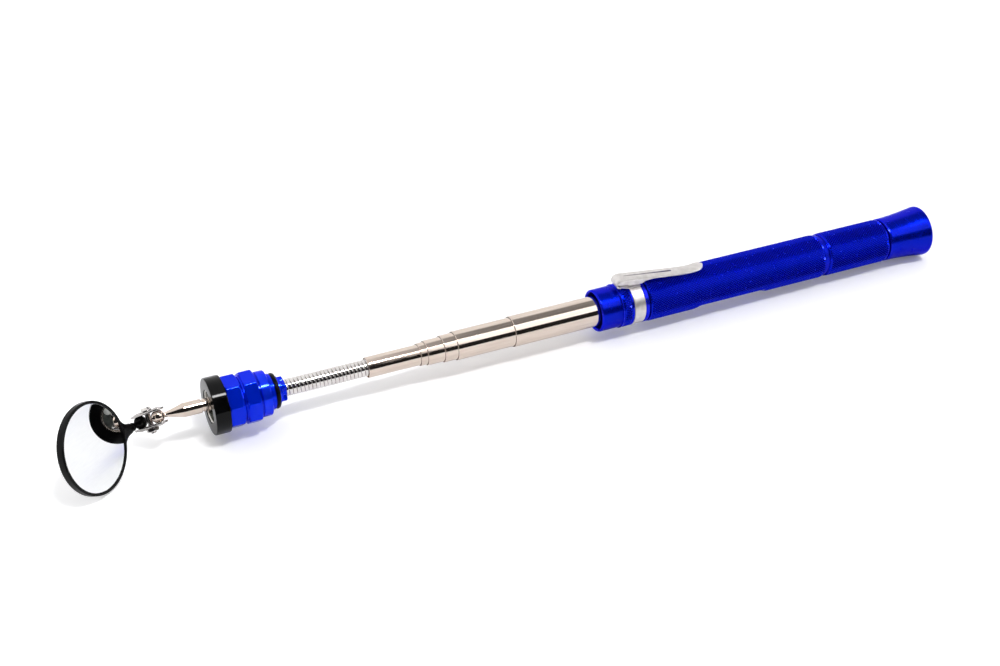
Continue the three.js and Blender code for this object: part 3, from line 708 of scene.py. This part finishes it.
def neck():
    """The bendable neck, in one short length of coil for each hinge."""
    joints = [joint(f"neck_bend_{i + 1}")[0].x for i in range(COIL["hinges"])]
    cap_back = span("head_end_cap")[1]
    half = COIL["spacing"] / 2
    for i, x in enumerate(joints):
        start = x + half
        end = max(x - half, cap_back + 0.06)
        count = round((start - end) / COIL["pitch"] * COIL["rows"])
        rows = [(start, 0.0), (start, COIL["radius"] - 0.6)]
        rows += [(start + (end - start) * k / count, COIL["radius"]) for k in range(count + 1)]
        rows += [(end, COIL["radius"] - 0.6), (end, 0.0)]

        def shape(row, column, x_here, radius, angle):
            return coil_radius(x_here, angle) if radius == COIL["radius"] else radius

        piece = turned(f"neck_coil_{i + 1}", rows, CHROME, None, columns=72, shape=shape)
        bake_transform(piece)
        if i < COIL["hinges"] - 1:
            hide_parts(f"neck_segment_{i + 1}")
    sleeve("neck_rear_collar", "neck_rear_ferrule", 1.2, STEEL, "neck_base")
    sleeve("neck_front_pin", "neck_front_ferrule", 1.2, STEEL, "lamp_rear")


# ---- Lamp head ----

def octagon_shape(x0, x1):
    """Gives the radius of an octagonal prism between x0 and x1, with its corners turned off at both ends."""
    half_side = math.pi / 8
    apothem = OCTAGON["across_flats"] / 2
    corner = apothem / math.cos(half_side)
    turn = math.radians(OCTAGON["turn"])
    end = OCTAGON["end_radius"]

    def shape(row, column, x, radius, angle):
        if not x0 <= x <= x1 or radius < end - 0.01:
            return radius
        around = (angle - turn) % (2 * half_side) - half_side
        flat = apothem / math.cos(around)
        depth = min(x - x0, x1 - x) / OCTAGON["chamfer"]
        cone = end + (corner - end) * min(depth, 1.0) ** 0.75
        near_corner = (corner - flat) / OCTAGON["ease"]
        flat -= 0.09 * math.exp(-near_corner * 6)
        return min(flat, cone)

    return shape


def octagon_rows(x0, x1):
    """Rows for an octagonal stretch, close together where its ends are turned off."""
    chamfer = OCTAGON["chamfer"]
    radius = OCTAGON["end_radius"]
    steps = [k / 12 * chamfer for k in range(13)]
    rows = [(x0 + s, radius) for s in steps]
    rows += [(x0 + chamfer + (x1 - x0 - 2 * chamfer) * k / 6, radius) for k in range(1, 6)]
    return rows + [(x1 - s, radius) for s in reversed(steps)]


def lamp_head():
    """The lamp: black front ring, two octagonal grips, two steps, the seal and the notched end cap."""
    front, bezel_end, ring = span("head_bezel")
    opening = 5.95
    seat = 7.9
    path = [(front, opening + 0.25), (front, ring - 0.35), (front + 0.12, ring - 0.12), (front + 0.4, ring)]
    path += [(bezel_end - 0.3, ring), (bezel_end - 0.08, ring - 0.1), (bezel_end, ring - 0.3)]
    path += [(bezel_end, seat), (front + 1.2, seat), (front + 1.2, opening), (front + 0.2, opening)]
    turned("head_front_ring", path, BLACK, "lamp_front", "head_bezel", columns=160)

    house_x0, house_x1, _ = span("lamp_housing")
    oct_x0 = bezel_end + 0.2
    oct_x1 = house_x1 - 0.65
    path = [(house_x0, 7.3), (house_x0, 7.8), (oct_x0, 7.8), (oct_x0, 8.4)]
    path += octagon_rows(oct_x0, oct_x1)
    path += [(oct_x1 + 0.05, 8.2), (house_x1 - 0.1, 8.15), (house_x1, 8.0), (house_x1, 7.3)]
    shape = octagon_shape(oct_x0, oct_x1)
    turned("lamp_grip_front", path, BLUE, "lamp_front", "lamp_housing", columns=192, shape=shape)

    rear_x0, rear_x1, _ = span("battery_housing")
    joint_x = house_x1 + 0.2
    oct_x0 = joint_x + 0.7
    oct_x1 = oct_x0 + 4.6
    seal_x0, seal_x1, seal_radius = span("head_o_ring")
    path = [(rear_x0, 6.0), (rear_x0, 7.15), (joint_x, 7.15), (joint_x, 8.0), (joint_x + 0.1, 8.15)]
    path += [(oct_x0 - 0.05, 8.2)] + octagon_rows(oct_x0, oct_x1)
    path += [(oct_x1 + 0.02, 7.95), (oct_x1 + 0.25, 7.75), (oct_x1 + 0.9, 7.75), (oct_x1 + 1.0, 8.0)]
    path += [(oct_x1 + 1.15, 8.1), (seal_x0 - 2.0, 8.1), (seal_x0 - 1.75, 8.02), (seal_x0 - 1.6, 7.8)]
    path += [(seal_x0 - 1.6, 6.75), (seal_x0 - 1.5, 6.5), (seal_x0 - 0.15, 6.45), (seal_x0 - 0.1, 4.5)]
    path += [(seal_x1 + 0.1, 4.5), (seal_x1 + 0.12, 5.0), (rear_x1, 5.0), (rear_x1, 4.0)]
    path += [(rear_x1 - 1.5, 4.0), (rear_x1 - 1.5, 6.0)]
    shape = octagon_shape(oct_x0, oct_x1)
    turned("lamp_grip_rear", path, BLUE, "lamp_rear", "battery_housing", columns=192, shape=shape)

    middle = (seal_x0 + seal_x1) / 2
    section = (seal_x1 - seal_x0) / 2
    path = arc((middle, seal_radius - section), section, 0, 360 - 15, 23)
    turned("seal_ring", path, RUBBER, "lamp_rear", "head_o_ring", columns=96)
    end_cap()


def end_cap():
    """The small cap behind the seal, with four wide notches cut across its rim."""
    x0, x1, radius = span("head_end_cap")
    bore = COIL["radius"] + 0.12
    notch = math.radians(NOTCH["half_angle"])
    steps = int((x1 - x0 - 0.3) / 0.1)
    rows = [(x0, 2.3), (x0, radius - 0.1)] + [(x0 + 0.15 + k * 0.1, radius) for k in range(steps)]
    rows += [(x1 - 0.1, radius - 0.08), (x1, radius - 0.35), (x1, bore), (x1 - 0.4, 2.3)]
    bottom = radius - NOTCH["depth"]

    def shape(row, column, x, r, angle):
        if r < bottom:
            return r
        around = abs((angle - math.radians(45)) % (math.pi / 2) - math.pi / 4)
        inside = min(max(1 - around / notch, 0.0) * 2.2, 1.0)
        deep = min(max((x - x0 - NOTCH["start"]) / NOTCH["run_out"], 0.0), 1.0)
        return r - (r - bottom) * inside * deep

    turned("lamp_end_cap", rows, BLUE, "lamp_rear", "head_end_cap", columns=144, shape=shape)


def lamp_inside():
    """What shows in the head's opening: a bright lining ring, three lamps on their board and the magnet."""
    x0, x1, radius = span("lamp_ring")
    path = [(x0, radius - 0.3), (x0, radius - 0.05), (x0 + 0.1, radius), (x1, radius), (x1, radius - 0.45)]
    path += [(x0 + 0.7, radius - 0.45), (x0 + 0.4, radius - 0.6), (x0 + 0.15, radius - 0.5)]
    turned("lamp_lining", path, PLATED_BRASS, "lamp_front", "lamp_ring")
    x0, x1, radius = span("lamp_board")
    path = [(x0, 2.4), (x0, radius), (x1, radius), (x1, 2.4)]
    turned("lamp_circuit_board", path, BOARD, "lamp_front", "lamp_board", soft=0.1)
    x0, x1, radius = span("centre_magnet")
    path = [(x0, 0.0), (x0, radius), (x1, radius), (x1, 0.0)]
    turned("head_magnet", path, MAGNET, "lamp_front", "centre_magnet", soft=0.35)
    for i in (1, 2, 3):
        low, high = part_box(f"led_{i}")
        centre = (low + high) / 2 / MM
        radius = (high.z - low.z) / 2 / MM
        x0, x1 = low.x / MM, high.x / MM
        skirt = x1 - 0.95
        path = arc((x0 + radius, 0.0), radius, 180, 96, 10)
        path[0] = (path[0][0], 0.0)
        path += [(skirt - 0.25, radius), (skirt - 0.25, radius + 0.1), (skirt, radius + 0.1)]
        path += [(skirt, 0.5), (x1, 0.5), (x1, 0.0)]
        place = Matrix.Translation((0, centre.y, centre.z))
        turned(f"lamp_lens_{i}", path, LENS, "lamp_front", f"led_{i}", place, columns=48)


def power_inside():
    """The cells and the contact spring, out of sight in the head."""
    for i in (1, 2, 3):
        x0, x1, radius = span(f"button_cell_{i}")
        path = [(x0, 0.0), (x0, radius - 1.2), (x0 + 0.3, radius - 1.1), (x0 + 0.45, radius - 0.4)]
        path += [(x0 + 0.9, radius), (x1 - 0.1, radius), (x1, radius - 0.2), (x1, 0.0)]
        turned(f"cell_{i}", path, CHROME, "lamp_rear", f"button_cell_{i}", soft=0.12, columns=96)
    x0, x1, radius = span("contact_spring")
    section = (x1 - x0) / 2
    path = arc(((x0 + x1) / 2, radius - section), section, 0, 345, 23)
    turned("spring_turn", path, BRASS, "lamp_front", "contact_spring", columns=72)


# ---- Stem, joint and mirror ----

def ball_path(neck_radius):
    """A ball's outline from its pole to where a neck of the given radius leaves it."""
    last = 180 - math.degrees(math.asin(neck_radius / BALL_RADIUS))
    path = arc((0.0, 0.0), BALL_RADIUS, 180, 180 - last, 18)
    path[0] = (-BALL_RADIUS, 0.0)
    return path


def stem():
    """The polished stem: ball, thin neck, long cone, straight part and a grooved foot on the magnet."""
    ball, _ = joint("link_swing")
    place = frame_at(ball, (1, 0, 0), (0, 0, 1))
    foot = span("mirror_stem")[1] - ball.x
    radius = STEM_RADIUS
    path = ball_path(0.9)
    path += [(2.5, 0.86), (2.9, 0.9), (8.6, radius - 0.08), (8.9, radius), (foot - 2.65, radius)]
    path += [(foot - 2.55, radius - 0.08), (foot - 2.5, radius - 0.45), (foot - 1.95, radius - 0.45)]
    path += [(foot - 1.9, radius - 0.25), (foot - 0.1, radius - 0.2), (foot, radius - 0.3), (foot, 1.1)]
    path += [(foot - 2.0, 1.1), (foot - 2.0, 0.0)]
    turned("stem_bar", path, STEEL, "stem", "mirror_stem", place)
    x0, x1, _ = span("stem_foot")
    disc = x1 - ball.x - 1.0
    end = x1 - ball.x
    path = [(x0 - ball.x, 0.0), (x0 - ball.x, 1.0), (disc, 1.0), (disc, 2.2), (disc + 0.1, 2.3)]
    path += [(end - 0.1, 2.3), (end, 2.2), (end, 0.0)]
    turned("stem_disc", path, STEEL, "foot", "stem_foot", place)


def link_frame():
    """The joint's frame: x from the stem's ball to the mirror's ball, z square to the plates."""
    first, upright = joint("link_swing")
    second, _ = joint("mirror_swing")
    return frame_at(first, second - first, upright)


def plate(name, node, side, place):
    """A joint plate: a sheet with round ends, pressed out into a seat over each ball."""
    length = LINK["length"]
    half = LINK["half_width"]
    inner = LINK["gap"] / 2
    outer = inner + LINK["sheet"]
    quarter = 24
    around = 4 * quarter
    insets = [0.0, 0.03, 0.1, 0.2] + [0.2 + (half - 0.22) * k / 15 for k in range(1, 16)]

    def ring(inset):
        reach = half - inset
        points = [(length * k / quarter, -reach) for k in range(quarter)]
        points += arc((length, 0.0), reach, -90, 90, quarter)[:-1]
        points += [(length - length * k / quarter, reach) for k in range(quarter)]
        points += arc((0.0, 0.0), reach, 90, 270, quarter)[:-1]
        return points

    def height(x, y, ball, level, soft):
        near = min(math.hypot(x, y), math.hypot(x - length, y))
        dome = math.sqrt(max(ball ** 2 - near ** 2, 0.0))
        return level + soft * math.log1p(math.exp(min((dome - level) / soft, 40.0)))

    edge = {0.0: 0.2, 0.03: 0.1, 0.1: 0.03}
    points = []
    for top in (True, False):
        for inset in insets:
            for x, y in ring(inset):
                drop = edge.get(inset, 0.0)
                if top:
                    z = height(x, y, BALL_RADIUS + 1.0, outer, 0.05) - 0.04 - drop
                else:
                    z = height(x, y, BALL_RADIUS + 0.12, inner, 0.02) + drop
                points.append((x, y, side * z))
    faces = []
    layer = len(insets) * around
    for first in (0, layer):
        faces += band_faces(first, len(insets), around)
        faces.append(tuple(range(first + layer - around, first + layer)))
    faces += [(j, (j + 1) % around, layer + (j + 1) % around, layer + j) for j in range(around)]
    new_piece(name, placed(points, place), faces, DULL_CHROME, "link", node)


def joint_hardware():
    """The plates, the cross-recessed screw and the nut that clamp the two balls."""
    place = link_frame()
    plate("joint_plate_top", "joint_plate_upper", 1, place)
    plate("joint_plate_bottom", "joint_plate_lower", -1, place)
    middle = place @ Matrix.Translation((LINK["length"] / 2, 0, 0))
    upright = middle @ Matrix.Rotation(math.radians(-90), 4, "Y")
    seat = LINK["gap"] / 2 + LINK["sheet"] + 0.02
    shank, head = SCREW["shank"], SCREW["radius"]
    head_top = seat + SCREW["height"]
    tip = -seat - SCREW["length"]
    path = [(tip, 0.0), (tip, shank - 0.2), (-seat - 2.0, shank), (seat, shank), (seat, head - 0.1)]
    path += [(seat + 0.12, head), (seat + 0.5, head)]
    path += [(head_top, r) for _, r in arc((0.0, 0.0), head, 48, 12, 6)]
    path += [(head_top, 0.35), (head_top, 0.0)]
    screw = turned("clamp_screw", path, CHROME, "link", "joint_screw", upright, columns=64)
    reach, half = SCREW["recess"], SCREW["slot"]
    recess = [(-reach, -half), (reach, -half), (reach, half), (-reach, half)]
    for turn in (20, 110):
        slot = middle @ Matrix.Rotation(math.radians(turn), 4, "Z")
        cut(screw, cutter(recess, seat + 0.6, seat + 3, slot))
    top = -seat - 0.02
    bottom = top - NUT["height"]
    end, chamfer, bore = NUT["end_radius"], NUT["chamfer"], NUT["bore"]
    rows = [(bottom, bore), (bottom, end - 0.05)]
    rows += [(bottom + chamfer * k / 8, end) for k in range(9)]
    rows += [(top - chamfer + chamfer * k / 8, end) for k in range(9)]
    rows += [(top, end - 0.05), (top, bore)]

    def hexagon(row, column, x, radius, angle):
        if radius < end:
            return radius
        around = angle % (math.pi / 3) - math.pi / 6
        flat = NUT["half_flats"] / math.cos(around)
        depth = min(top - x, x - bottom) / chamfer
        return min(flat, end + 0.1 + 0.5 * min(max(depth, 0.0), 1.0))

    turned("clamp_nut", rows, CHROME, "link", "joint_nut", upright, columns=96, shape=hexagon)


def mirror_place():
    """The mirror's frame: x from its ball to its centre, z out of the glass."""
    ball, _ = joint("mirror_swing")
    _, along = joint("mirror_roll")
    return frame_at(ball, along, face_normal("mirror_glass"))


def loft(name, sections, material, body, place):
    """A smooth bar along x through rounded sections (x, half width, half thickness, middle z, squareness)."""
    sides = 40
    points = []
    for x, wide, thick, z, power in sections:
        for j in range(sides):
            angle = 2 * math.pi * j / sides
            c, s = math.cos(angle), math.sin(angle)
            y = wide * math.copysign(abs(c) ** (2 / power), c)
            points.append((x, y, z + thick * math.copysign(abs(s) ** (2 / power), s)))
    return new_piece(name, placed(points, place), skin_faces(len(sections), sides), material, body)


def mirror():
    """The round mirror: ball stud, gloss black frame with its smoothly widening web, and the glass."""
    place = mirror_place()
    path = ball_path(1.0)
    path += [(4.1, 0.95), (4.2, 1.35), (4.35, 1.5), (4.7, 1.5), (4.8, 1.35), (4.82, 0.85)]
    path += [(8.8, 0.85), (9.0, 0.7), (9.0, 0.0)]
    turned("mirror_ball_stud", path, BLACK, "stud", "ball_stud", place)

    radius, opening, deep = MIRROR["radius"], MIRROR["opening"], MIRROR["thickness"]
    centre = place @ Matrix.Translation((MIRROR["reach"], 0, MIRROR["rise"]))
    upright = centre @ Matrix.Rotation(math.radians(-90), 4, "Y")
    pocket = radius - 0.5
    path = [(-deep, 0.0), (-deep, radius - 0.9), (-deep + 0.06, radius - 0.6), (-deep + 0.3, radius - 0.22)]
    path += [(-deep + 0.7, radius - 0.03), (-deep + 1.0, radius), (-0.5, radius), (-0.2, radius - 0.07)]
    path += [(-0.03, radius - 0.3), (0.0, radius - 0.5), (0.0, opening + 0.3), (-0.08, opening + 0.08)]
    path += [(-0.4, opening), (-0.4, pocket), (-1.65, pocket), (-1.65, 0.0)]
    turned("mirror_rim", path, BLACK, "mirror", "mirror_frame", upright, columns=192)
    path = [(-1.5, 0.0), (-1.5, pocket - 0.1), (-0.46, pocket - 0.1), (-0.46, opening + 0.05)]
    path += [(-0.42, opening - 0.2), (-0.42, 0.0)]
    turned("mirror_face", path, SILVERED, "mirror", "mirror_glass", upright, columns=192)

    middle = MIRROR["rise"] - deep / 2
    start, half = WEB["start"], WEB["half"]
    full = start + WEB["round_in"]
    root = MIRROR["reach"] - radius + WEB["overlap"]
    sections = [(start + x, half - less, half - less, 0.0, 2.0) for x, less in ((0.0, 0.4), (0.08, 0.1))]
    sections.append((full, half, half, 0.0, 2.0))
    steps = 26
    for k in range(1, steps + 1):
        t = k / steps
        ease = t * t * (3 - 2 * t)
        wide = half + 0.45 * min(6 * t, 1.0) + WEB["flare"] * t ** 3.2
        thick = half + (deep / 2 - 0.12 - half) * ease
        sections.append((full + t * (root - full), wide, thick, middle * ease, 2.0 + 2.0 * t))
    loft("mirror_web", sections, BLACK, "mirror", place)


# ---- Stage, light and camera ----

def world():
    """A white studio. Seen in the turned parts, from the horizon up on the camera's side: a dark gap, then a
    softbox that narrows to a bright strip towards the head's side, then the room's ceiling and far wall."""
    sky = bpy.data.worlds.new("studio")
    bpy.context.scene.world = sky
    sky.use_nodes = True
    studio = Graph(sky.node_tree)
    calculate, ranged = studio.calculate, studio.ranged
    direction = studio.axes(studio.nodes.new("ShaderNodeTexCoord").outputs["Generated"])
    toward = calculate("MULTIPLY", direction["Y"], -1.0)
    angle = calculate("ARCTAN2", direction["Z"], toward)
    turn = calculate("MULTIPLY_ADD", angle, 1 / (2 * math.pi), 0.5)
    degrees = calculate("MULTIPLY", angle, 180 / math.pi)
    along = direction["X"]

    def room(stops):
        return studio.ramp(turn, [(place / 360 + 0.5, value) for place, value in stops])

    below = [(-90, 0.4), (-4, 0.4), (0, 0.015)]
    near_tail = room(below + [(72, 0.015), (75, 0.2), (118, 0.27), (130, 1.0)])
    near_head = room(below + [(70, 0.015), (78, 0.95), (104, 0.95)])
    walls = studio.mixed(ranged(along, *GIVES_WAY["wall"]), near_head, near_tail)
    lower_edge = ranged(along, *GIVES_WAY["edge"], LIGHT["head_edge"], LIGHT["tail_edge"])
    blur = 2.0
    above_edge = ranged(calculate("SUBTRACT", degrees, lower_edge), 0.0, blur)
    below_top = ranged(degrees, LIGHT["top"], LIGHT["top"] + blur, 1.0, 0.0)
    inside = calculate("MULTIPLY", above_edge, below_top)
    inside = calculate("MULTIPLY", inside, ranged(along, *GIVES_WAY["dark"]))
    brightness = ranged(along, *GIVES_WAY["strip"], LIGHT["strip"], LIGHT["panel"])
    softbox = calculate("MULTIPLY", inside, brightness)
    open_end = ranged(calculate("ABSOLUTE", along), 0.72, 0.9)
    light = studio.mixed(open_end, calculate("ADD", walls, softbox), 0.95)
    backdrop = studio.nodes["Background"]
    studio.links.new(light, backdrop.inputs["Color"])
    backdrop.inputs["Strength"].default_value = LIGHT["room"]


def floor():
    """A plain pale floor that touches the mirror's rim and the tail's rim. The camera sees it a little
    brighter than it is lit, most of all under the mirror."""
    low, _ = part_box("mirror_frame")
    tail_low, tail_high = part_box("tail_cap")
    x0, z0 = low.x / MM, low.z / MM - 0.05
    x1, z1 = tail_high.x / MM, tail_low.z / MM - 0.05
    slope = (z1 - z0) / (x1 - x0)
    far = 3000.0
    points = [(x, y, z0 + slope * (x - x0)) for x, y in ((-far, -far), (far, -far), (far, far), (-far, far))]
    mesh = bpy.data.meshes.new("floor")
    mesh.from_pydata([tuple(c * MM for c in p) for p in points], [], [(0, 1, 2, 3)])
    ground = bpy.data.objects.new("floor", mesh)
    bpy.context.scene.collection.objects.link(ground)
    white = (0.3, (0.9, 0.9, 0.915), (0.93, 0.93, 0.94))
    finish = textured("floor_white", white, (0.5, 0.6, 0.75), Specular_IOR_Level=0.2)
    seen = finish.nodes.new("ShaderNodeLightPath").outputs["Is Camera Ray"]
    start, end = ((x0 + FLOOR_LIFT[key]) * MM for key in ("start", "end"))
    lift = finish.ranged(finish.axes(finish.place)["X"], start, end, FLOOR_LIFT["mirror"], FLOOR_LIFT["tool"])
    finish.links.new(finish.calculate("MULTIPLY", seen, lift), finish.shader.inputs["Emission Strength"])
    finish.shader.inputs["Emission Color"].default_value = (1.0, 1.0, 1.0, 1.0)
    mesh.materials.append(finish.material)


def camera():
    """The photograph's viewing angle: from the front, a little to the left and well above."""
    data = bpy.data.cameras.new("camera")
    data.lens = CAMERA["lens"]
    data.sensor_width = CAMERA["sensor"]
    data.clip_start = 0.01
    data.clip_end = 20.0
    seen_from = bpy.data.objects.new("camera", data)
    bpy.context.scene.collection.objects.link(seen_from)
    forward = Vector(CAMERA_FORWARD).normalized()
    right = Vector(CAMERA_RIGHT).normalized()
    up = right.cross(forward)
    turn = Matrix((right, up, -forward)).transposed().to_4x4()
    place = Vector((MOUTH * MM, 0.0, 0.0)) + Vector(CAMERA["place"])
    seen_from.matrix_world = Matrix.Translation(place) @ turn
    bpy.context.scene.camera = seen_from
    bpy.context.scene.view_settings.view_transform = "Standard"


# ---- The whole object ----

barrel()
sleeve("mouth_guide", "mouth_bush", 5.9, BRASS, "handle")
tail_cap()
clip_ring()
clip_arm()
clip_cheeks()
for number in range(1, 7):
    tube(number)
neck()
lamp_head()
lamp_inside()
power_inside()
stem()
joint_hardware()
mirror()
world()
floor()
camera()
